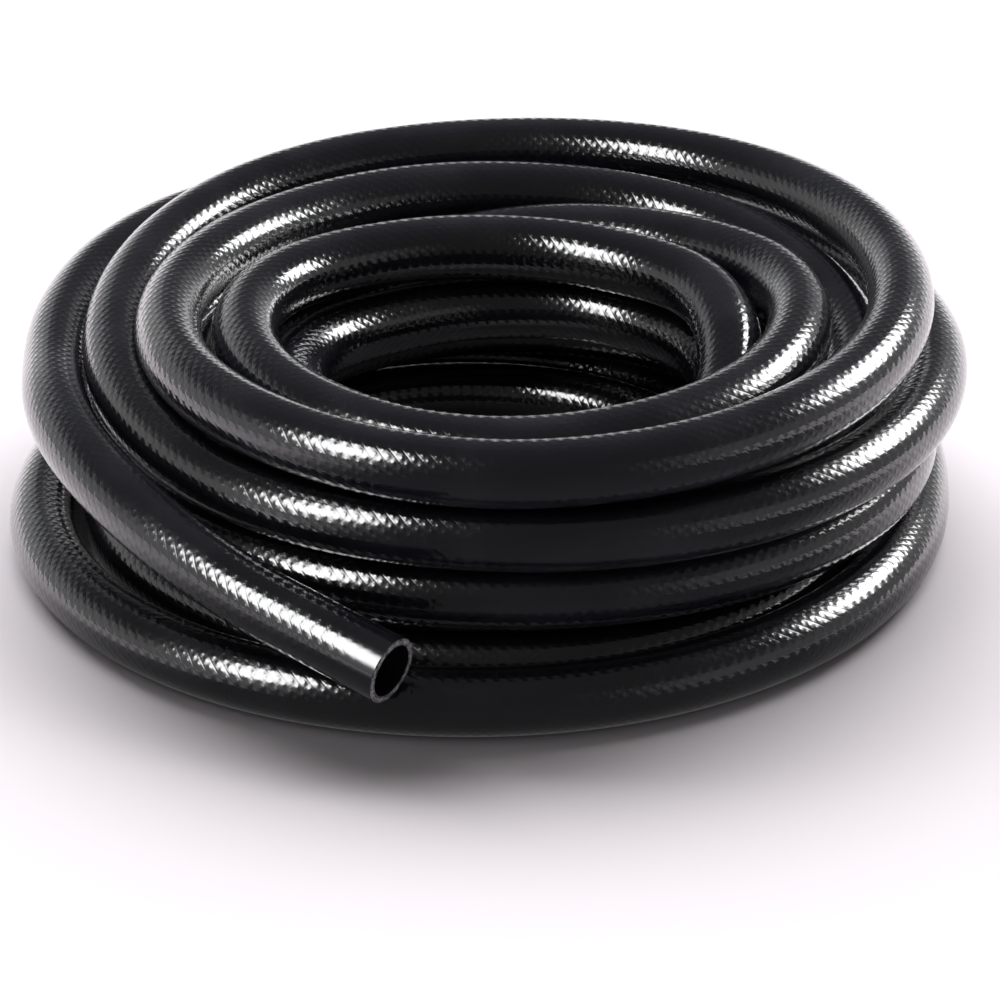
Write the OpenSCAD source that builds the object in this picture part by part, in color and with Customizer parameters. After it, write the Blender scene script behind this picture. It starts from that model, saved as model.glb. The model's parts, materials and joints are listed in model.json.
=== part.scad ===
// Coiled air hose: one bare length of reinforced hose, laid down in a loose pile of
// twelve turns, with both ends cut square.
// Millimetres, Z up. The pile stands on Z = 0, with the origin under the middle of its
// box, and its open end comes off the left and points to the front, which is -Y.

/* [Hose] */
// Bore of the hose
bore_d = 12.7; // [9:0.1:15]
// Wall of the smooth inner tube
liner_t = 0.7; // [0.3:0.05:1]
// Thickness of the textile braid on the inner tube
braid_t = 0.25; // [0.1:0.05:0.5]
// Wall of the glossy outer cover
cover_t = 0.7; // [0.3:0.05:1]

/* [Pile] */
// Radius of the pile, halfway between its innermost and outermost turns
pile_r = 82.5; // [74:0.5:110]
// Room between turns that lie side by side, on top of the hose's own diameter
turn_room = 0.5; // [0.5:0.1:2]

/* [Ends] */
// Length of each square-cut end whose layers are separate pieces
end_l = 24; // [16:1:30]

/* [Hidden] */

// The hose's radii, from the inside out, and its outside diameter.
bore_r = bore_d / 2;
liner_r = bore_r + liner_t;
braid_r = liner_r + braid_t;
hose_r = braid_r + cover_t;
hose_d = 2 * hose_r;

// Facets: the coil is swept with few, and the free run with more and shorter steps.
coil_sides = 6;
rings_per_turn = 24;
run_sides = 12;
run_steps = 8;
round_fn = 96;

// The distance from turn to turn, side by side or one on the other, is the pile's own
// unit: places in the pile are counted in it.
pitch = hose_d + turn_room;

// Where the pile stands on the hose, the hose is cut flat by a tenth of its diameter.
flat_depth = hose_d / 10;
lie = -0.1;

// The hose's way, from the open end inwards, clockwise from above. A station is the angle
// round the pile (0 front, 90 left, 180 back, 270 right), then how far the hose's centre
// line is outside the pile's mean radius, and how far it is above that of a hose on the
// floor, both in pitches. A turn on the floor is at the height "lie".
// The free run lies over the pile's left shoulder.
RUN = [[23, 2.08, 1.09], [31, 1.94, 1.27], [39, 1.86, 1.48], [55, 1.77, 1.84], [75, 1.71, 2.02]];
TURNS = [
    // Outermost turn, on the second layer, and the rise to the top.
    [[90, 1.69, 1.99], [135, 2.12, 2.14], [180, 1.64, 2.03], [225, 1.55, 2.00], [270, 1.30, 1.99]],
    [[0, 0.64, 2.00], [45, 0.64, 2.04], [90, 0.79, 2.42], [135, 0.94, 2.86],
        [180, 0.88, 3.02], [225, 0.88, 3.15], [270, 0.75, 3.20]],
    // Spiral in along the top, with two dives under the turns outside.
    [[0, 0.73, 3.01], [45, 0.43, 3.07], [90, -0.10, 3.02], [135, -0.57, 3.00],
        [180, -0.66, 2.92], [225, -0.20, 2.66], [270, 0.14, 2.17]],
    [[0, -0.42, 1.87], [90, -0.66, 2.06], [135, -1.40, 2.22], [180, -1.87, 2.66],
        [225, -1.56, 2.90], [270, -0.78, 3.04]],
    [[0, -0.28, 2.88], [45, -0.62, 2.95], [90, -1.32, 3.02], [135, -2.50, 3.02],
        [180, -2.92, 2.98], [225, -2.76, 2.98], [270, -1.92, 2.88], [315, -1.26, 2.06]],
    // Wall of the eye, down to the first layer above the floor.
    [[0, -1.48, 1.93], [45, -1.62, 1.99], [90, -1.92, 2.01], [135, -2.66, 1.97],
        [180, -2.74, 1.92], [225, -2.42, 1.92], [270, -1.86, 1.80], [315, -1.74, 1.07]],
    // Spiral out on the first layer, and down to the floor at the back.
    [[0, -1.56, 0.92], [45, -1.40, 1.00], [90, -1.26, 1.06], [180, -1.36, 1.03], [270, -0.90, 1.02]],
    [[0, -0.55, 0.87], [90, -0.22, 1.00], [180, -0.16, 1.01], [225, 0.38, 1.00], [270, 0.87, 1.00]],
    [[0, 0.48, 1.00], [90, 1.00, 1.00], [180, 1.62, 0.99], [225, 1.66, 0.48],
        [270, 1.10, lie], [315, 1.24, lie]],
    // Spiral in on the floor, to the inner end inside the eye.
    [[0, 1.61, lie], [45, 2.00, lie], [90, 1.88, lie], [180, 0.70, lie], [270, 0.05, lie]],
    [[0, 0.53, lie], [90, 0.82, lie], [180, -0.38, lie], [270, -0.98, lie]],
    [[0, -0.95, lie], [90, -0.66, lie], [180, -1.72, lie], [270, -2.00, lie], [300, -2.22, -0.02],
        [330, -2.60, 0.02], [345, -2.80, 0.02]],
];

// Where the axis of the turns stands, so that the origin is under the middle of the box.
pile_axis = [4.8, 5, 0];

// --- Small functions on points ---

function unit(v) = v / norm(v);
function total(list) = [for (v = list) 1] * list;
// Distance from point p to the stretch from a to b.
function to_stretch(p, a, b) =
    let (along = ((p - a) * (b - a)) / ((b - a) * (b - a)))
    norm(p - a - min(max(along, 0), 1) * (b - a));

// --- Centre line of the hose ---

// Every station, with its angle counted on through the turns.
STATIONS = [
    each RUN,
    for (k = [0 : len(TURNS) - 1]) for (s = TURNS[k]) [s[0] + 360 * k, s[1], s[2]],
];
last_station = len(STATIONS) - 1;
run_from = RUN[0][0];
run_to = RUN[len(RUN) - 1][0];
coil_from = TURNS[0][0][0];
coil_to = STATIONS[last_station][0];
run_step = (run_to - run_from) / run_steps;
ring_step = 360 / rings_per_turn;

// Slope of offset and height at a station, per degree.
function slope(i) =
    let (before = STATIONS[max(i - 1, 0)], after = STATIONS[min(i + 1, last_station)])
    [after[1] - before[1], after[2] - before[2]] / (after[0] - before[0]);

// Offset and height at any angle, on a smooth cubic from station to station.
function station_at(angle) =
    let (i = min(len([for (s = STATIONS) if (s[0] <= angle) 1]), last_station) - 1,
         a = STATIONS[i],
         b = STATIONS[i + 1],
         span = b[0] - a[0],
         t = (angle - a[0]) / span)
    [a[1], a[2]] * (2 * pow(t, 3) - 3 * pow(t, 2) + 1)
    + slope(i) * span * (pow(t, 3) - 2 * pow(t, 2) + t)
    + [b[1], b[2]] * (3 * pow(t, 2) - 2 * pow(t, 3))
    + slope(i + 1) * span * (pow(t, 3) - pow(t, 2));

function hose_point(angle) =
    let (place = station_at(angle),
         r = pile_r + place[0] * pitch,
         z = max(hose_r + place[1] * pitch, hose_r - flat_depth))
    [-r * sin(angle), -r * cos(angle), z];

// --- Rings: the centre of a cross-section and the way the hose runs through it ---

coil_line = [for (angle = [coil_from : ring_step : coil_to]) hose_point(angle)];
coil_last = len(coil_line) - 1;

// Both of the coil's ends run straight for one diameter: the first along a chord of the
// hose's way, from a point on it, and the last along the way that the hose has there.
start_turn = 2 * asin(hose_r / norm([coil_line[0][0], coil_line[0][1]]));
coil_start = hose_point(coil_from - start_turn);
start_way = unit(coil_line[0] - coil_start);
end_way = unit(coil_line[coil_last] - coil_line[coil_last - 1]);
coil_end = coil_line[coil_last] + hose_d * end_way;
coil_rings = [
    [coil_start, start_way],
    [coil_line[0], unit(coil_line[1] - coil_start)],
    for (i = [1 : coil_last - 1]) [coil_line[i], unit(coil_line[i + 1] - coil_line[i - 1])],
    [coil_line[coil_last], end_way],
    [coil_end, end_way],
];

run_line = [for (k = [0 : run_steps]) hose_point(run_from + k * run_step), coil_start];
run_last = len(run_line) - 1;
outer_way = unit(run_line[1] - run_line[0]);
outer_cut = run_line[0] - end_l * outer_way;
inner_cut = coil_end + end_l * end_way;
run_rings = [
    [run_line[0], outer_way],
    for (i = [1 : run_last - 1]) [run_line[i], unit(run_line[i + 1] - run_line[i - 1])],
    [run_line[run_last], start_way],
];

// --- Sweep ---

// One round of points about a ring, with none below the floor that the hose lies on.
function round_points(ring, r, sides) =
    let (across = unit(cross(ring[1], [0, 0, 1])), up = cross(across, ring[1]))
    [for (k = [0 : sides - 1])
        let (p = ring[0] + r * (cos(360 * k / sides) * across + sin(360 * k / sides) * up))
        [p[0], p[1], max(p[2], 0)]];

// An open tube along the rings, with its bore, as one closed skin of triangles.
module tube(rings, sides) {
    ends = len(rings) - 1;
    inside = len(rings) * sides;
    points = [
        for (ring = rings) each round_points(ring, hose_r, sides),
        for (ring = rings) each round_points(ring, bore_r, sides),
    ];
    faces = [
        for (i = [0 : ends - 1]) for (k = [0 : sides - 1])
            let (next = (k + 1) % sides,
                 a = i * sides + k,
                 b = i * sides + next,
                 c = b + sides,
                 d = a + sides)
            each [[a, b, c], [a, c, d],
                  [inside + a, inside + c, inside + b], [inside + a, inside + d, inside + c]],
        for (k = [0 : sides - 1])
            let (a = k,
                 b = (k + 1) % sides,
                 c = ends * sides + a,
                 d = ends * sides + b)
            each [[a, inside + a, inside + b], [a, inside + b, b],
                  [c, inside + d, inside + c], [c, d, inside + d]],
    ];
    translate(pile_axis)
        polyhedron(points = points, faces = faces, convexity = 20);
}

// --- Straight ends, in their layers ---

// One layer of a hose end: a plain sleeve between two radii, from a point along a way.
module sleeve(from, way, outer_r, inner_r) {
    translate(pile_axis + from)
        rotate([0, acos(way[2]), atan2(way[1], way[0])])
            rotate_extrude($fn = round_fn)
                translate([inner_r, 0])
                    square([outer_r - inner_r, end_l]);
}

module outer_sleeve(outer_r, inner_r) {
    sleeve(outer_cut, outer_way, outer_r, inner_r);
}

module inner_sleeve(outer_r, inner_r) {
    sleeve(coil_end, end_way, outer_r, inner_r);
}

// --- Sub-parts ---

// The twelve turns, wound as one unbroken tube.
module hose_coil() {
    color([0.09, 0.09, 0.1]) tube(coil_rings, coil_sides);
}

// The stretch that comes off the pile towards the open end.
module free_run() {
    color([0.13, 0.13, 0.14]) tube(run_rings, run_sides);
}

// Glossy outer cover.
module outer_end_cover() {
    color([0.09, 0.09, 0.1]) outer_sleeve(hose_r, braid_r);
}

// Textile reinforcement between the cover and the inner tube.
module outer_end_braid() {
    color([0.42, 0.42, 0.42]) outer_sleeve(braid_r, liner_r);
}

// Smooth inner tube, whose bore takes the fitting's tail.
module outer_end_liner() {
    color([0.16, 0.16, 0.17]) outer_sleeve(liner_r, bore_r);
}

module inner_end_cover() {
    color([0.09, 0.09, 0.1]) inner_sleeve(hose_r, braid_r);
}

module inner_end_braid() {
    color([0.42, 0.42, 0.42]) inner_sleeve(braid_r, liner_r);
}

module inner_end_liner() {
    color([0.16, 0.16, 0.17]) inner_sleeve(liner_r, bore_r);
}

// --- Measures, printed with each build ---

// Least distance between the centre line at a ring and the line of each other turn,
// looked for within three rings of the same angle.
function other_turns(i) = [
    for (k = [rings_per_turn : rings_per_turn : coil_last + 3])
        for (j = [max(i + k - 3, 0) : min(i + k + 2, coil_last - 1)])
            to_stretch(coil_line[i], coil_line[j], coil_line[j + 1])];
turn_gaps = [for (i = [0 : coil_last]) let (d = other_turns(i)) if (len(d) > 0) min(d)];
straight_gaps = [
    for (p = [coil_end, (coil_end + inner_cut) / 2, inner_cut])
        for (j = [0 : coil_last - rings_per_turn / 2])
            to_stretch(p, coil_line[j], coil_line[j + 1])];
run_gaps = [
    for (p = [outer_cut, each run_line])
        for (j = [rings_per_turn / 2 : coil_last - 1])
            to_stretch(p, coil_line[j], coil_line[j + 1])];
function line_length(line) = total([for (i = [1 : len(line) - 1]) norm(line[i] - line[i - 1])]);
echo(least_gap_between_turns = min(turn_gaps) - hose_d);
echo(least_gap_inner_end_to_turns = min(straight_gaps) - hose_d);
echo(least_gap_free_run_to_turns = min(run_gaps) - hose_d);
echo(hose_length = line_length(coil_line) + line_length(run_line) + 2 * hose_d + 2 * end_l);
echo(open_cut_face = pile_axis + outer_cut, way_out = -outer_way);
echo(inner_cut_face = pile_axis + inner_cut, way_out = end_way);

hose_coil();
free_run();
outer_end_cover();
outer_end_braid();
outer_end_liner();
inner_end_cover();
inner_end_braid();
inner_end_liner();
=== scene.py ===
"""Looks of a coiled air hose: its cover along the whole way, its two cut ends and its stage.

The hose is one bare length of thin-walled reinforced hose, laid down in a loose pile. Its braid
shows through the glossy cover as a fine lattice of bumps, and its layers show in the cut ends.
"""

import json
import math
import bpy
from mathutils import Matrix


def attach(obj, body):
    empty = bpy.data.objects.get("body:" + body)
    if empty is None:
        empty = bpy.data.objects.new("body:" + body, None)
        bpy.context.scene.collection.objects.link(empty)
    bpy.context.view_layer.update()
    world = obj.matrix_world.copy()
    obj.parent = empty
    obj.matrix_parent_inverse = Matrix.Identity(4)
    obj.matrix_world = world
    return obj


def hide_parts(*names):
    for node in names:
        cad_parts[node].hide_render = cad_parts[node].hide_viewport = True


bl_info = {
    "name": "Coiled air hose",
    "version": (1, 0, 0),
    "blender": (4, 5, 0),
    "location": "3D View > Sidebar > Air hose",
    "description": "Builds the finish of a coiled air hose round its packed frame",
    "category": "Add Mesh",
}

import bpy
from mathutils import Vector

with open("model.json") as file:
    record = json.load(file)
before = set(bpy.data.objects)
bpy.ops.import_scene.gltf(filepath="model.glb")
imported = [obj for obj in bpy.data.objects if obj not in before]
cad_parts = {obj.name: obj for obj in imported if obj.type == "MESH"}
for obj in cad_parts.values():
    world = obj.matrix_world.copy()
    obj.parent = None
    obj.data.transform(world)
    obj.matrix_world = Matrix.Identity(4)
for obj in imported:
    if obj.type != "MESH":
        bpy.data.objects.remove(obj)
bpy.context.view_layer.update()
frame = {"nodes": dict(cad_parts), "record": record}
BODY = "root"
MM = 0.001
# Places closer than this, in metres, are one place.
SAME_PLACE = 1e-6
UP = Vector((0, 0, 1))

# The bore's radius and the length of a cut end come from the record's own bore.
END_BORE = next(m for m in frame["record"]["mounts"] if m["name"] == "open_end_bore")

# The hose's way, from the open end inwards, clockwise from above. A station is the angle round
# the pile (0 front, 90 left, 180 back, 270 right), then how far the centre line is outside the
# pile's mean radius, and how far it is above that of a hose on the floor, both in pitches. A
# pitch is the hose's diameter with the room beside it.
FREE_RUN = [
    (23, 2.08, 1.09), (31, 1.94, 1.27), (39, 1.86, 1.48), (55, 1.77, 1.84), (75, 1.71, 2.02),
]
# Height of the turns on the floor, where the soft hose gives a little.
LIE = -0.03
TURNS = [
    # Outermost turn, on the second layer, and the rise to the top.
    [(90, 1.69, 1.99), (135, 2.12, 2.14), (180, 1.64, 2.03), (225, 1.55, 2.00), (270, 1.30, 1.99)],
    [(0, 0.64, 2.00), (45, 0.64, 2.04), (90, 0.79, 2.42), (135, 0.94, 2.86),
     (180, 0.88, 3.02), (225, 0.88, 3.15), (270, 0.75, 3.20)],
    # Spiral in along the top, with two dives under the turns outside.
    [(0, 0.73, 3.01), (45, 0.43, 3.07), (90, -0.10, 3.02), (135, -0.57, 3.00),
     (180, -0.66, 2.92), (225, -0.20, 2.66), (270, 0.14, 2.17)],
    [(0, -0.42, 1.87), (90, -0.66, 2.06), (135, -1.40, 2.22), (180, -1.87, 2.66),
     (225, -1.56, 2.90), (270, -0.78, 3.04)],
    [(0, -0.28, 2.88), (45, -0.62, 2.95), (90, -1.32, 3.02), (135, -2.50, 3.02),
     (180, -2.92, 2.98), (225, -2.76, 2.98), (270, -1.92, 2.88), (315, -1.26, 2.06)],
    # Wall of the eye, down to the first layer above the floor.
    [(0, -1.48, 1.93), (45, -1.62, 1.99), (90, -1.92, 2.01), (135, -2.66, 1.97),
     (180, -2.74, 1.92), (225, -2.42, 1.92), (270, -1.86, 1.80), (315, -1.74, 1.07)],
    # Spiral out on the first layer, and down to the floor at the back.
    [(0, -1.56, 0.92), (45, -1.40, 1.00), (90, -1.26, 1.06), (180, -1.36, 1.03),
     (270, -0.90, 1.02)],
    [(0, -0.55, 0.87), (90, -0.22, 1.00), (180, -0.16, 1.01), (225, 0.38, 1.00),
     (270, 0.87, 1.00)],
    [(0, 0.48, 1.00), (90, 1.00, 1.00), (180, 1.62, 0.99), (225, 1.66, 0.48),
     (270, 1.10, LIE), (315, 1.24, LIE)],
    # Spiral in on the floor, to the inner end inside the eye.
    [(0, 1.61, LIE), (45, 2.00, LIE), (90, 1.88, LIE), (180, 0.70, LIE), (270, 0.05, LIE)],
    [(0, 0.53, LIE), (90, 0.82, LIE), (180, -0.38, LIE), (270, -0.98, LIE)],
    [(0, -0.95, LIE), (90, -0.66, LIE), (180, -1.72, LIE), (270, -2.00, LIE),
     (300, -2.22, -0.02), (330, -2.60, 0.02), (345, -2.80, 0.02)],
]
# The pile's axis stands here, so that the origin is under the middle of the pile's box.
PILE_AXIS = Vector((4.8, 5, 0)) * MM
# The free run has this many steps between guide points, and on the coil these are so many
# degrees apart.
RUN_STEPS = 8
TURN_STEP = 15

# The two families of yarn in the braid, which wind round the hose in opposite ways. Each has the
# operation that gives its winding, the power that sharpens its ridges, and its share of the
# creases' depth. The first family lies nearer the skin.
YARN_FAMILIES = (("ADD", 2.1, 1.0), ("SUBTRACT", 1.6, 0.25))
# How far the yarns wander, as a share of the distance between them.
YARN_WANDER = 0.35
# The power that narrows the creases between the yarns.
CREASE_POWER = 9.0
# Refractive index of soft PVC.
PVC_IOR = 1.54
# Settings of a Map Range node that rises without a corner. Its inputs 1 and 2 are where it starts
# and ends, and 3 and 4 are what it gives there, which is 0 and 1 where nothing is said.
SMOOTH = {"interpolation_type": "SMOOTHSTEP"}

# The camera looks at this point, and the lamps at the middle of the pile.
CAMERA_TARGET = Vector((2.8, -47, 30)) * MM
PILE_MIDDLE = Vector((0, 0, 30)) * MM
# Side of the square floor, in metres.
FLOOR_SIDE = 8


# --- Settings ---


def colour_of(hex_code):
    """An sRGB colour, written as six hex digits, as the linear one that a shader takes."""
    parts = [int(hex_code[i : i + 2], 16) / 255 for i in (0, 2, 4)]
    return [p / 12.92 if p <= 0.04045 else ((p + 0.055) / 1.055) ** 2.4 for p in parts] + [1.0]


def length(name, description, millimetres):
    """A length setting, in metres, whose default is written in millimetres."""
    return bpy.props.FloatProperty(
        name=name,
        description=description,
        default=millimetres * MM,
        min=0,
        precision=5,
        subtype="DISTANCE",
        unit="LENGTH",
    )


def colour(name, description, hex_code):
    """A colour setting, whose default is written as six hex digits."""
    return bpy.props.FloatVectorProperty(
        name=name,
        description=description,
        default=colour_of(hex_code),
        size=4,
        min=0,
        max=1,
        subtype="COLOR",
    )


def number(name, description, default, unit="NONE"):
    """A plain number setting, with its unit if it has one."""
    return bpy.props.FloatProperty(
        name=name, description=description, default=default, min=0, unit=unit
    )


class HoseSizes(bpy.types.PropertyGroup):
    """Sizes of the hose and of its pile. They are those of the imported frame."""

    bore_radius: length("Bore radius", "Radius of the bore", END_BORE["dims"]["r_mm"])
    liner_wall: length("Liner wall", "Wall of the smooth inner tube", 0.7)
    braid_wall: length("Braid", "Thickness of the textile braid", 0.25)
    cover_wall: length("Cover wall", "Wall of the glossy outer cover", 0.7)
    pile_radius: length("Pile radius", "Halfway between the innermost and outermost turns", 82.5)
    turn_room: length("Room", "Room between turns that lie side by side", 0.5)
    end_length: length(
        "Cut end", "Length of each end whose layers are separate", END_BORE["dims"]["length_mm"]
    )
    ring_step: length("Ring step", "Most between the rings of the cover's mesh", 4.3)
    rim_bevel: length("Rim bevel", "Bevel that the knife leaves on the outer edge of a cut", 0.15)
    sides: bpy.props.IntProperty(
        name="Sides", description="Sides of the hose's cross-section", default=32, min=12
    )


class HoseFinish(bpy.types.PropertyGroup):
    """Colours, gloss and relief of the hose's layers."""

    jacket: colour("Jacket", "Glossy outer cover", "16161d")
    handled_jacket: colour("Handled jacket", "Cover where handling has dulled it", "1f1f26")
    skin_roughness: number("Skin roughness", "Roughness of the cover as it left the die", 0.17)
    handled_roughness: number(
        "Handled roughness", "Roughness of the cover where handling has dulled it", 0.25
    )
    film_roughness: number("Film roughness", "Roughness of the wet gloss on the cover", 0.06)
    patch_size: length("Patch size", "Size of the patches that handling has dulled", 24)
    braid: colour("Braid", "Cut polyester yarn", "78767a")
    filament_ends: colour("Filament ends", "Pale ends of the yarn's filaments", "d4d2d6")
    filament_size: length(
        "Filament size", "Drawn coarser than the real filaments, which are too fine to show", 0.5
    )
    liner: colour("Liner", "Smooth inner tube", "121215")
    cut_pvc: colour("Cut PVC", "Cover and liner where the knife has cut them", "323034")
    specks: colour("Specks", "Specks of filler in the cut", "9a989c")
    speck_size: length("Speck size", "Size of the specks in the cut", 1.1)
    speck_height: length("Speck height", "Unevenness that the knife leaves", 0.05)
    rim_edge: length("Rim edge", "Distance from a cut at which the skin begins", 0.1)
    bump_length: length("Bump length", "From bump to bump along the hose", 3.0)
    bumps_around: bpy.props.IntProperty(
        name="Bumps around", description="Bumps in one round of the hose", default=18, min=3
    )
    bump_height: length("Bump height", "Height of the braid's bumps in the cover", 0.05)
    crease_depth: length("Crease depth", "Depth of the creases between the yarns", 0.02)
    grain_size: length("Grain size", "Size of the unevenness of the extruded skin", 0.8)
    grain_height: length("Grain height", "Height of the unevenness of the extruded skin", 0.01)
    wave_size: length("Wave size", "Size of the soft waves in the skin", 6)
    wave_height: length("Wave height", "Height of the soft waves in the skin", 0.1)
    smooth_from: length("Smooth end", "Length at a cut over which the braid has relaxed", 1)
    smooth_to: length("Full relief", "Distance from a cut at which the relief is full", 18)


class StageSettings(bpy.types.PropertyGroup):
    """Floor, lamps and camera."""

    floor: colour("Floor", "Pale paper floor", "f6eff4")
    # Painted shade: how brightly the floor in front glows in gloss, as the hose mirrors it.
    painted_floor_shade: number("Dim floor", "Brightness of the floor in front of the pile, in gloss", 0.1)
    ambient: number("Ambient", "Strength of the even light of the room", 0.15)
    mirrored_ceiling: number("Mirrored ceiling", "Brightness of the ceiling in gloss", 0.11)
    mirrored_walls: number("Mirrored walls", "Brightness of the side walls in gloss", 0.45)
    left_lamp: number("Left lamp", "Power of the softbox on the left in front", 27, "POWER")
    right_lamp: number("Right lamp", "Power of the softbox on the right", 7.5, "POWER")
    back_lamp: number("Back lamp", "Power of the wide softbox behind", 920, "POWER")
    camera_distance: length("Camera distance", "From the camera to the point it looks at", 1150)
    camera_lens: number("Lens", "Focal length of the camera", 176.04, "CAMERA")
    camera_rise: bpy.props.FloatProperty(
        name="Camera rise",
        description="Angle of the camera above the floor",
        default=math.radians(26.5),
        subtype="ANGLE",
        unit="ROTATION",
    )


# --- The hose's way ---


def cubic(a, b, leave, arrive, t):
    """The place at t, from 0 to 1, on the smooth cubic that leaves a and arrives at b like this."""
    return (
        a * (2 * t**3 - 3 * t**2 + 1)
        + leave * (t**3 - 2 * t**2 + t)
        + b * (3 * t**2 - 2 * t**3)
        + arrive * (t**3 - t**2)
    )


def cubic_way(a, b, leave, arrive, t):
    """The way of that cubic at t."""
    way = (b - a) * (6 * t - 6 * t**2) + leave * (3 * t**2 - 4 * t + 1)
    return (way + arrive * (3 * t**2 - 2 * t)).normalized()


def stations():
    """Every station, with its angle counted on through the turns."""
    line = list(FREE_RUN)
    for k, turn in enumerate(TURNS):
        line += [(angle + 360 * k, out, high) for angle, out, high in turn]
    return line


def slope(line, i):
    """Slope of offset and height at a station, per degree."""
    before, after = line[max(i - 1, 0)], line[min(i + 1, len(line) - 1)]
    return [(after[k] - before[k]) / (after[0] - before[0]) for k in (1, 2)]


def hose_radius(sizes):
    """Outer radius of the hose, from its layers."""
    return sizes.bore_radius + sizes.liner_wall + sizes.braid_wall + sizes.cover_wall


def hose_point(sizes, angle):
    """The centre line's point at an angle, on a smooth cubic from station to station."""
    line = stations()
    i = min(sum(s[0] <= angle for s in line), len(line) - 1) - 1
    a, b = line[i], line[i + 1]
    span = b[0] - a[0]
    t = (angle - a[0]) / span
    out, high = [
        cubic(a[k], b[k], leave * span, arrive * span, t)
        for k, leave, arrive in zip((1, 2), slope(line, i), slope(line, i + 1))
    ]
    hose_r = hose_radius(sizes)
    pitch = 2 * hose_r + sizes.turn_room
    r = sizes.pile_radius + out * pitch
    z = hose_r + max(high, LIE) * pitch
    turn = math.radians(angle)
    return PILE_AXIS + Vector((-r * math.sin(turn), -r * math.cos(turn), z))


def guide_points(sizes):
    """Points on the centre line from the open cut to the inner one, and the hose's way at each."""
    run_from, run_to = FREE_RUN[0][0], FREE_RUN[-1][0]
    coil_from, coil_to = TURNS[0][0][0], stations()[-1][0]
    run_angles = [run_from + k * (run_to - run_from) / RUN_STEPS for k in range(RUN_STEPS + 1)]
    run = [hose_point(sizes, a) for a in run_angles]
    coil = [hose_point(sizes, a) for a in range(coil_from, coil_to + 1, TURN_STEP)]
    run_way = (run[1] - run[0]).normalized()
    end_way = (coil[-1] - coil[-2]).normalized()
    straight = 2 * hose_radius(sizes)
    # Both cut ends are straight, and so is the hose for one diameter before the inner one.
    points = [run[0] - sizes.end_length * run_way, *run, *coil]
    points += [coil[-1] + straight * end_way, coil[-1] + (straight + sizes.end_length) * end_way]
    ways = [run_way, run_way]
    for before, here, after in zip(points[1:], points[2:], points[3:]):
        # The way leans towards the shorter of the two steps that meet here.
        come, go = here - before, after - here
        ways.append((come * go.length / come.length + go * come.length / go.length).normalized())
    ways[-2:] = [end_way] * 3
    return points, ways


def centre_line(sizes):
    """Close points along the hose, the way at each, and how far each is from the open cut."""
    points, ways = guide_points(sizes)
    line, heads = [points[0]], [ways[0]]
    for a, b, way_a, way_b in zip(points, points[1:], ways, ways[1:]):
        chord = (b - a).length
        steps = math.ceil(chord / sizes.ring_step)
        for k in range(1, steps + 1):
            line.append(cubic(a, b, way_a * chord, way_b * chord, k / steps))
            heads.append(cubic_way(a, b, way_a * chord, way_b * chord, k / steps))
    along = [0.0]
    for a, b in zip(line, line[1:]):
        along.append(along[-1] + (b - a).length)
    return line, heads, along


# --- The cover's mesh ---


def cover_rings(sizes, along):
    """Rings of the cover: out along the skin, in over the far rim, and back through the bore.

    Each ring is the number of its point on the centre line, its radius, and how far it is moved
    along the hose from that point.
    """
    last = len(along) - 1
    outer_r = hose_radius(sizes)
    seat_r = outer_r - sizes.cover_wall
    bevel = sizes.rim_bevel
    far_seat = along[-1] - sizes.end_length
    cut_end = [i for i, s in enumerate(along) if s <= sizes.end_length + SAME_PLACE]
    far_end = [i for i, s in enumerate(along) if s >= far_seat - SAME_PLACE]
    # Nobody looks into the bore between the ends, so it takes every other ring there.
    between = list(range(cut_end[-1], far_end[0] + 1, 2))
    if between[-1] != far_end[0]:
        between.append(far_end[0])
    return [
        (0, outer_r - bevel, 0),
        (0, outer_r, bevel),
        *((i, outer_r, 0) for i in range(1, last)),
        (last, outer_r, -bevel),
        (last, outer_r - bevel, 0),
        *((i, seat_r, 0) for i in reversed(far_end)),
        *((i, sizes.bore_radius, 0) for i in reversed(between)),
        *((i, seat_r, 0) for i in reversed(cut_end)),
    ]


def cover_mesh(sizes, line, heads, along):
    """The closed tube through the cover's rings.

    Its UV map holds the place along the hose, in metres, and the share of a round.
    """
    rings = cover_rings(sizes, along)
    vertices, places = [], []
    for i, r, moved in rings:
        across = heads[i].cross(UP).normalized()
        up = across.cross(heads[i])
        centre = line[i] + heads[i] * moved
        for k in range(sizes.sides):
            turn = 2 * math.pi * k / sizes.sides
            vertex = centre + r * (math.cos(turn) * across + math.sin(turn) * up)
            # The turns on the floor are flat where they lie.
            vertex.z = max(vertex.z, 0)
            vertices.append(vertex)
        places.append(along[i] + moved)
    faces, marks = [], []
    for j, place in enumerate(places):
        after = (j + 1) % len(rings)
        base, top = j * sizes.sides, after * sizes.sides
        for k in range(sizes.sides):
            side = (k + 1) % sizes.sides
            faces.append((base + k, base + side, top + side, top + k))
            a, b = k / sizes.sides, (k + 1) / sizes.sides
            marks += [(place, a), (place, b), (places[after], b), (places[after], a)]
    mesh = bpy.data.meshes.new("hose_cover")
    mesh.from_pydata(vertices, [], faces)
    way = mesh.uv_layers.new(name="hose_way")
    for loop, mark in zip(way.data, marks):
        loop.uv = mark
    return mesh


def choose(context, chosen):
    """Makes one object the active one and the only one selected."""
    bpy.ops.object.select_all(action="DESELECT")
    chosen.select_set(True)
    context.view_layer.objects.active = chosen


# --- Materials ---


def new_material(name):
    """An empty node material of that name, with its node tree."""
    material = bpy.data.materials.new(name)
    material.use_nodes = True
    material.node_tree.nodes.clear()
    return material, material.node_tree


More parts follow.
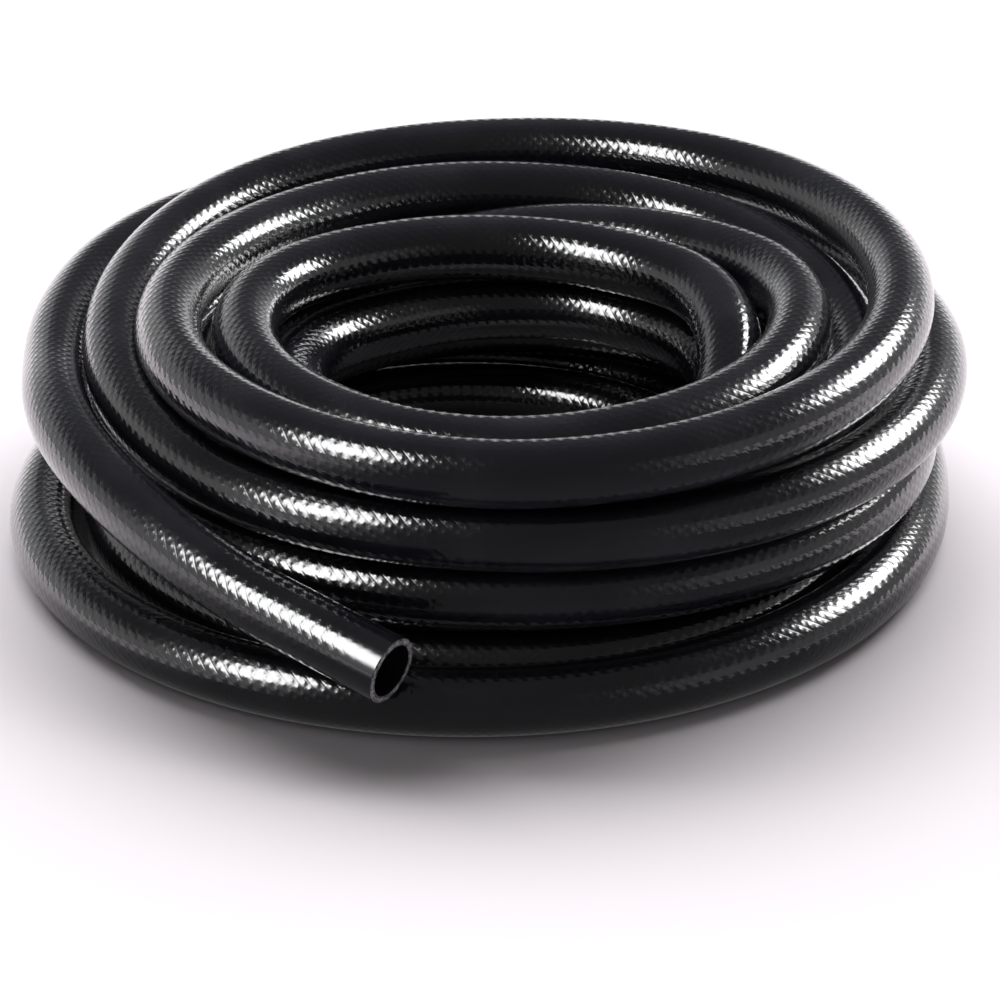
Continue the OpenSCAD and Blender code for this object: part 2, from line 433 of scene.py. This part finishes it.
def add(tree, kind, inputs=(), **settings):
    """Adds a node with its settings, and sets or links its inputs.

    A node stands for its first output. A Mix node's colours are its inputs 6 and 7 and its
    output 2.
    """
    node = tree.nodes.new(kind)
    for name, value in settings.items():
        setattr(node, name, value)
    for key, value in dict(inputs).items():
        if isinstance(value, bpy.types.Node):
            value = value.outputs[0]
        if isinstance(value, bpy.types.NodeSocket):
            tree.links.new(value, node.inputs[key])
        else:
            node.inputs[key].default_value = value
    return node


def braid_relief(tree, finish, where, along, around, from_end):
    """Height of the cover over the braid, in metres.

    Two families of yarn cross under it. Each crossing lifts a bump, and between the yarns of one
    family runs a narrow crease. The yarns wander a little, as they do under a braiding machine.
    """
    steps = add(tree, "ShaderNodeMath", {0: along, 1: finish.bump_length}, operation="DIVIDE")
    turns = add(tree, "ShaderNodeMath", {0: around, 1: finish.bumps_around}, operation="MULTIPLY")
    wander = add(
        tree,
        "ShaderNodeTexNoise",
        {"Vector": where, "Scale": 0.5 / finish.bump_length, "Detail": 1.0},
    )
    drift = add(
        tree,
        "ShaderNodeMath",
        {0: wander, 1: YARN_WANDER, 2: -YARN_WANDER / 2},
        operation="MULTIPLY_ADD",
    )
    bump, creases = finish.bump_height, 0.0
    for winding, sharpness, share in YARN_FAMILIES:
        # A wave across the yarns, 1 on each yarn and 0 between two.
        phase = add(tree, "ShaderNodeMath", {0: steps, 1: turns}, operation=winding)
        loose = add(tree, "ShaderNodeMath", {0: phase, 1: drift}, operation="ADD")
        turned = add(tree, "ShaderNodeMath", {0: loose, 1: 2 * math.pi}, operation="MULTIPLY")
        cosine = add(tree, "ShaderNodeMath", {0: turned}, operation="COSINE")
        wave = add(tree, "ShaderNodeMath", {0: cosine, 1: 0.5, 2: 0.5}, operation="MULTIPLY_ADD")
        ridge = add(tree, "ShaderNodeMath", {0: wave, 1: sharpness}, operation="POWER")
        bump = add(tree, "ShaderNodeMath", {0: ridge, 1: bump}, operation="MULTIPLY")
        low = add(tree, "ShaderNodeMath", {0: 1.0, 1: wave}, operation="SUBTRACT")
        crease = add(tree, "ShaderNodeMath", {0: low, 1: CREASE_POWER}, operation="POWER")
        creases = add(
            tree,
            "ShaderNodeMath",
            {0: crease, 1: -share * finish.crease_depth, 2: creases},
            operation="MULTIPLY_ADD",
        )
    height = add(tree, "ShaderNodeMath", {0: bump, 1: creases}, operation="ADD")
    # The braid has sprung back from the knife at both cuts, so the cover is smooth there.
    fade = add(
        tree,
        "ShaderNodeMapRange",
        {"Value": from_end, 1: finish.smooth_from, 2: finish.smooth_to},
        **SMOOTH,
    )
    height = add(tree, "ShaderNodeMath", {0: height, 1: fade}, operation="MULTIPLY")
    # The extruded skin itself is a little uneven, finely and in soft waves.
    skin = ((finish.grain_size, finish.grain_height), (finish.wave_size, finish.wave_height))
    for size, high in skin:
        uneven = add(
            tree, "ShaderNodeTexNoise", {"Vector": where, "Scale": 1 / size, "Detail": 2.0}
        )
        height = add(
            tree, "ShaderNodeMath", {0: uneven, 1: high, 2: height}, operation="MULTIPLY_ADD"
        )
    return height


def cut_pvc(tree, finish, where):
    """PVC that a knife has cut across: dull, greyer than the skin, with pale specks of filler."""
    specks = add(
        tree,
        "ShaderNodeTexNoise",
        {"Vector": where, "Scale": 1 / finish.speck_size, "Detail": 3.0},
    )
    pale = add(tree, "ShaderNodeMapRange", {"Value": specks, 1: 0.4, 2: 0.62}, **SMOOTH)
    tint = add(
        tree, "ShaderNodeMix", {0: pale, 6: finish.cut_pvc, 7: finish.specks}, data_type="RGBA"
    )
    height = add(tree, "ShaderNodeMath", {0: specks, 1: finish.speck_height}, operation="MULTIPLY")
    # Here and below, a height is in metres, so the bump's distance is one.
    bump = add(tree, "ShaderNodeBump", {"Height": height, "Distance": 1.0})
    return add(
        tree,
        "ShaderNodeBsdfPrincipled",
        {"Base Color": tint.outputs[2], "Roughness": 0.45, "IOR": PVC_IOR, "Normal": bump},
    )


def jacket_material(finish, whole):
    """Soft PVC, extruded through a polished die: black, with a wet gloss that the braid breaks up.

    The UV map holds the place along the hose, and the whole is the hose's length.
    """
    material, tree = new_material("extruded_soft_pvc")
    where = add(tree, "ShaderNodeTexCoord").outputs["Object"]
    place = add(tree, "ShaderNodeSeparateXYZ", {0: add(tree, "ShaderNodeUVMap", uv_map="hose_way")})
    along, around = place.outputs[0], place.outputs[1]
    other_end = add(tree, "ShaderNodeMath", {0: whole, 1: along}, operation="SUBTRACT")
    from_end = add(tree, "ShaderNodeMath", {0: along, 1: other_end}, operation="MINIMUM")
    height = braid_relief(tree, finish, where, along, around, from_end)
    bump = add(tree, "ShaderNodeBump", {"Height": height, "Distance": 1.0})
    # Handling has left the skin duller and greyer in soft patches.
    handled = add(
        tree,
        "ShaderNodeTexNoise",
        {"Vector": where, "Scale": 1 / finish.patch_size, "Detail": 4.0},
    )
    dull = add(tree, "ShaderNodeMapRange", {"Value": handled, 1: 0.4, 2: 0.7}, **SMOOTH)
    tint = add(
        tree,
        "ShaderNodeMix",
        {0: dull, 6: finish.jacket, 7: finish.handled_jacket},
        data_type="RGBA",
    )
    rough = add(
        tree,
        "ShaderNodeMapRange",
        {"Value": dull, 3: finish.skin_roughness, 4: finish.handled_roughness},
    )
    skin = add(
        tree,
        "ShaderNodeBsdfPrincipled",
        {
            "Base Color": tint.outputs[2],
            "Roughness": rough,
            "IOR": PVC_IOR,
            "Coat Weight": 1.0,
            "Coat Roughness": finish.film_roughness,
            "Coat IOR": 1.5,
            "Normal": bump,
            "Coat Normal": bump,
        },
    )
    # The rims of both cuts lie at no distance from an end.
    on_skin = add(
        tree,
        "ShaderNodeMapRange",
        {"Value": from_end, 1: 0.2 * finish.rim_edge, 2: finish.rim_edge},
        **SMOOTH,
    )
    both = add(tree, "ShaderNodeMixShader", {0: on_skin, 1: cut_pvc(tree, finish, where), 2: skin})
    add(tree, "ShaderNodeOutputMaterial", {"Surface": both})
    return material


def braid_material(finish):
    """Polyester yarn, cut across: dull, with the pale ends of its filaments."""
    material, tree = new_material("cut_polyester_yarn")
    where = add(tree, "ShaderNodeTexCoord").outputs["Object"]
    filaments = add(
        tree,
        "ShaderNodeTexNoise",
        {"Vector": where, "Scale": 1 / finish.filament_size, "Detail": 3.0},
    )
    ends = add(tree, "ShaderNodeMapRange", {"Value": filaments, 1: 0.42, 2: 0.6}, **SMOOTH)
    tint = add(
        tree, "ShaderNodeMix", {0: ends, 6: finish.braid, 7: finish.filament_ends}, data_type="RGBA"
    )
    height = add(tree, "ShaderNodeMath", {0: ends, 1: finish.speck_height}, operation="MULTIPLY")
    bump = add(tree, "ShaderNodeBump", {"Height": height, "Distance": 1.0})
    yarn = add(
        tree,
        "ShaderNodeBsdfPrincipled",
        {"Base Color": tint.outputs[2], "Roughness": 0.9, "Normal": bump},
    )
    add(tree, "ShaderNodeOutputMaterial", {"Surface": yarn})
    return material


def liner_material(finish, end, way):
    """Soft PVC, extruded over a mandrel: black and satin in the bore, and cut across at the end."""
    material, tree = new_material(f"extruded_liner_pvc_{end}")
    where = add(tree, "ShaderNodeTexCoord").outputs["Object"]
    streaks = add(
        tree,
        "ShaderNodeTexNoise",
        {"Vector": where, "Scale": 4 / finish.patch_size, "Detail": 3.0},
    )
    rough = add(tree, "ShaderNodeMapRange", {"Value": streaks, 3: 0.28, 4: 0.48})
    bore = add(
        tree,
        "ShaderNodeBsdfPrincipled",
        {"Base Color": finish.liner, "Roughness": rough, "IOR": PVC_IOR},
    )
    # The cut face is the one that looks along the hose.
    facing = add(
        tree,
        "ShaderNodeVectorMath",
        {0: add(tree, "ShaderNodeNewGeometry").outputs["Normal"], 1: way},
        operation="DOT_PRODUCT",
    )
    size = add(tree, "ShaderNodeMath", {0: facing.outputs["Value"]}, operation="ABSOLUTE")
    on_cut = add(tree, "ShaderNodeMapRange", {"Value": size, 1: 0.7, 2: 0.9}, **SMOOTH)
    both = add(tree, "ShaderNodeMixShader", {0: on_cut, 1: bore, 2: cut_pvc(tree, finish, where)})
    add(tree, "ShaderNodeOutputMaterial", {"Surface": both})
    return material


def floor_material(stage):
    """White paper: matt and pale. In gloss it shows painted shade in front of the pile: a fixed dim
    glow, not lit paper, which the hose's lower sides mirror.
    """
    material, tree = new_material("white_paper")
    where = add(tree, "ShaderNodeTexCoord").outputs["Object"]
    place = add(tree, "ShaderNodeSeparateXYZ", {0: where})
    # The dim part, painted shade in gloss, is a wedge that opens to the front. It lies to the right
    # of the middle.
    across = add(tree, "ShaderNodeMath", {0: place, 1: 0.1}, operation="SUBTRACT")
    aside = add(tree, "ShaderNodeMath", {0: across}, operation="ABSOLUTE")
    ahead = add(tree, "ShaderNodeMath", {0: 0.2, 1: place.outputs[1]}, operation="SUBTRACT")
    slant = add(tree, "ShaderNodeMath", {0: aside, 1: ahead}, operation="DIVIDE")
    beside = add(tree, "ShaderNodeMapRange", {"Value": slant, 1: 0.55, 2: 1.1}, **SMOOTH)
    behind = add(
        tree, "ShaderNodeMapRange", {"Value": place.outputs[1], 1: -0.1, 2: 0.05}, **SMOOTH
    )
    pale = add(tree, "ShaderNodeMath", {0: beside, 1: behind}, operation="MAXIMUM")
    front = add(tree, "ShaderNodeMath", {0: 1.0, 1: pale}, operation="SUBTRACT")
    gloss = add(tree, "ShaderNodeLightPath").outputs["Is Glossy Ray"]
    dimmed = add(tree, "ShaderNodeMath", {0: front, 1: gloss}, operation="MULTIPLY")
    paper = add(tree, "ShaderNodeBsdfDiffuse", {"Color": stage.floor})
    # Painted shade: in gloss the floor here is this fixed dim glow instead of lit paper.
    dim = add(tree, "ShaderNodeEmission", {"Strength": stage.painted_floor_shade})
    mixed = add(tree, "ShaderNodeMixShader", {0: dimmed, 1: paper, 2: dim})
    add(tree, "ShaderNodeOutputMaterial", {"Surface": mixed})
    return material


def soft_edge(lamp):
    """Gives a softbox a bright middle that fades out to its edge, as its cloth does."""
    lamp.use_nodes = True
    tree = lamp.node_tree
    tree.nodes.clear()
    # A place on the lamp runs from 0 to 1, and the gradient's from -1 to 1.
    where = add(tree, "ShaderNodeNewGeometry").outputs["Parametric"]
    middle = add(
        tree,
        "ShaderNodeVectorMath",
        {0: where, 1: (2, 2, 0), 2: (-1, -1, 0)},
        operation="MULTIPLY_ADD",
    )
    spot = add(tree, "ShaderNodeTexGradient", {"Vector": middle}, gradient_type="SPHERICAL")
    glow = add(tree, "ShaderNodeMapRange", {"Value": spot.outputs[1], 1: 0, 2: 0.6}, **SMOOTH)
    light = add(tree, "ShaderNodeEmission", {"Strength": glow})
    add(tree, "ShaderNodeOutputLight", {"Surface": light})


def studio_world(stage):
    """The room, as each kind of ray meets it.

    The camera sees it white, it gives matt surfaces an even light, and in gloss it has pale walls
    under a dim ceiling.
    """
    world = bpy.data.worlds.new("studio")
    world.use_nodes = True
    tree = world.node_tree
    tree.nodes.clear()
    # The way that a ray goes: 1 to the right, to the back and up.
    way = add(tree, "ShaderNodeSeparateXYZ", {0: add(tree, "ShaderNodeTexCoord")})
    aside = add(tree, "ShaderNodeMath", {0: way}, operation="ABSOLUTE")
    # The walls stand aside, end before the front and halfway up, and are brighter on the left.
    walls = add(tree, "ShaderNodeMapRange", {"Value": way, 1: -0.3, 2: 0.3, 3: 1.4, 4: 0.7})
    edges = ((aside, 0.08, 0.4), (way.outputs[1], -0.85, -0.6), (way.outputs[2], 0.6, 0.3))
    for value, low, high in edges:
        part = add(tree, "ShaderNodeMapRange", {"Value": value, 1: low, 2: high}, **SMOOTH)
        walls = add(tree, "ShaderNodeMath", {0: walls, 1: part}, operation="MULTIPLY")
    # Low down behind, the sweep of the backdrop is bright, and draws the thin rim lines.
    low_down = add(
        tree, "ShaderNodeMapRange", {"Value": way.outputs[2], 1: 0.3, 2: 0.05, 4: 2.5}, **SMOOTH
    )
    back = add(tree, "ShaderNodeMapRange", {"Value": way.outputs[1], 1: 0.5, 2: 0.8}, **SMOOTH)
    behind = add(tree, "ShaderNodeMath", {0: low_down, 1: back}, operation="MULTIPLY")
    pale = add(tree, "ShaderNodeMath", {0: walls, 1: behind}, operation="MAXIMUM")
    mirrored = add(
        tree,
        "ShaderNodeMath",
        {0: pale, 1: stage.mirrored_walls, 2: stage.mirrored_ceiling},
        operation="MULTIPLY_ADD",
    )
    rays = add(tree, "ShaderNodeLightPath")
    gloss = add(
        tree,
        "ShaderNodeMath",
        {0: rays.outputs["Is Glossy Ray"], 1: rays.outputs["Is Transmission Ray"]},
        operation="MAXIMUM",
    )
    matt = add(tree, "ShaderNodeMix", {"Factor": gloss, "A": stage.ambient, "B": mirrored})
    strength = add(
        tree, "ShaderNodeMix", {"Factor": rays.outputs["Is Camera Ray"], "A": matt, "B": 1.0}
    )
    room = add(tree, "ShaderNodeBackground", {"Strength": strength})
    add(tree, "ShaderNodeOutputWorld", {"Surface": room})
    return world


# --- Operators ---


class HOSE_OT_camera(bpy.types.Operator):
    """Add the camera, in front of the pile and above it"""

    bl_idname = "hose.add_camera"
    bl_label = "Camera"

    def execute(self, context):
        stage = context.scene.hose_stage
        back = Vector((0, -math.cos(stage.camera_rise), math.sin(stage.camera_rise)))
        bpy.ops.object.camera_add(
            location=CAMERA_TARGET + back * stage.camera_distance,
            rotation=(math.pi / 2 - stage.camera_rise, 0, 0),
        )
        camera = context.object
        camera.name = "pile_camera"
        camera.data.lens = stage.camera_lens
        camera.data.sensor_width = 36
        camera.data.clip_start = 0.01
        context.scene.camera = camera
        return {"FINISHED"}


class HOSE_OT_cover(bpy.types.Operator):
    """Add the hose's glossy cover, as one tube with its bore, from cut to cut"""

    bl_idname = "hose.add_cover"
    bl_label = "Hose cover"

    def execute(self, context):
        sizes = context.scene.hose_sizes
        line, heads, along = centre_line(sizes)
        cover = bpy.data.objects.new("hose_cover", cover_mesh(sizes, line, heads, along))
        context.collection.objects.link(cover)
        choose(context, cover)
        bpy.ops.object.mode_set(mode="EDIT")
        bpy.ops.mesh.select_all(action="SELECT")
        bpy.ops.mesh.normals_make_consistent(inside=False)
        bpy.ops.object.mode_set(mode="OBJECT")
        # The rims of the cuts stay sharp.
        bpy.ops.object.shade_smooth_by_angle(angle=math.radians(35))
        cover.data.materials.append(jacket_material(context.scene.hose_finish, along[-1]))
        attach(cover, BODY)
        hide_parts("hose_coil", "free_run", "outer_end_cover", "inner_end_cover")
        return {"FINISHED"}


class HOSE_OT_layers(bpy.types.Operator):
    """Give the braid and the liner in both cut ends their finish"""

    bl_idname = "hose.finish_layers"
    bl_label = "Braid and liner"

    def execute(self, context):
        finish = context.scene.hose_finish
        ways = guide_points(context.scene.hose_sizes)[1]
        braid = braid_material(finish)
        for end, way in (("outer", ways[0]), ("inner", ways[-1])):
            liner = liner_material(finish, end, way)
            for layer, material in (("braid", braid), ("liner", liner)):
                node = frame["nodes"][f"{end}_end_{layer}"]
                node.data.materials.clear()
                node.data.materials.append(material)
        return {"FINISHED"}


class HOSE_OT_stage(bpy.types.Operator):
    """Add the pale floor, the three softboxes and the even light of the room"""

    bl_idname = "hose.add_stage"
    bl_label = "Stage"

    def execute(self, context):
        stage = context.scene.hose_stage
        bpy.ops.mesh.primitive_plane_add(size=FLOOR_SIDE)
        floor = context.object
        floor.name = "paper_floor"
        floor.data.materials.append(floor_material(stage))

        # Two softboxes that the gloss mirrors, on the left in front and on the right, and a wide
        # one behind that lights the matt surfaces and the floor. Azimuth 0 is in front, angles
        # are in degrees and lengths in metres.
        for name, power, azimuth, rise, away, wide, high, mirrored in (
            ("left_softbox", stage.left_lamp, -53, 38, 1.1, 0.64, 1.04, True),
            ("right_softbox", stage.right_lamp, 114, 33, 0.6, 0.54, 0.3, True),
            ("back_softbox", stage.back_lamp, 177, 46, 6, 11, 4.4, False),
        ):
            turn, lift = math.radians(azimuth), math.radians(rise)
            level = math.cos(lift)
            back = Vector((math.sin(turn) * level, -math.cos(turn) * level, math.sin(lift)))
            bpy.ops.object.light_add(type="AREA", location=PILE_MIDDLE + back * away)
            lamp = context.object
            lamp.name = name
            lamp.rotation_euler = back.to_track_quat("Z", "Y").to_euler()
            lamp.data.shape = "RECTANGLE"
            lamp.data.size, lamp.data.size_y = wide, high
            lamp.data.energy = power
            lamp.visible_glossy = mirrored
            lamp.visible_diffuse = not mirrored
            if mirrored:
                soft_edge(lamp.data)
        context.scene.world = studio_world(stage)
        context.scene.view_settings.view_transform = "Standard"
        return {"FINISHED"}


class HOSE_PT_panel(bpy.types.Panel):
    """Settings and steps of the coiled air hose"""

    bl_idname = "HOSE_PT_panel"
    bl_label = "Coiled air hose"
    bl_space_type = "VIEW_3D"
    bl_region_type = "UI"
    bl_category = "Air hose"

    def draw(self, context):
        for scene_name in GROUPS:
            group = getattr(context.scene, scene_name)
            box = self.layout.box()
            for name in group.__annotations__:
                box.prop(group, name)
        for operator in OPERATORS:
            self.layout.operator(operator.bl_idname)


GROUPS = {"hose_sizes": HoseSizes, "hose_finish": HoseFinish, "hose_stage": StageSettings}
OPERATORS = (HOSE_OT_camera, HOSE_OT_cover, HOSE_OT_layers, HOSE_OT_stage)


def register():
    """Registers the settings, the operators and the panel."""
    for name, group in GROUPS.items():
        bpy.utils.register_class(group)
        setattr(bpy.types.Scene, name, bpy.props.PointerProperty(type=group))
    for operator in OPERATORS:
        bpy.utils.register_class(operator)
    bpy.utils.register_class(HOSE_PT_panel)


def unregister():
    """Takes them out again, in the other order."""
    bpy.utils.unregister_class(HOSE_PT_panel)
    for operator in reversed(OPERATORS):
        bpy.utils.unregister_class(operator)
    for name, group in reversed(GROUPS.items()):
        delattr(bpy.types.Scene, name)
        bpy.utils.unregister_class(group)


def main():
    """Builds everything in order."""
    register()
    bpy.ops.object.select_all(action="DESELECT")
    bpy.ops.hose.add_camera()
    bpy.ops.hose.add_cover()
    bpy.ops.hose.finish_layers()
    bpy.ops.hose.add_stage()


if __name__ == "__main__":
    main()
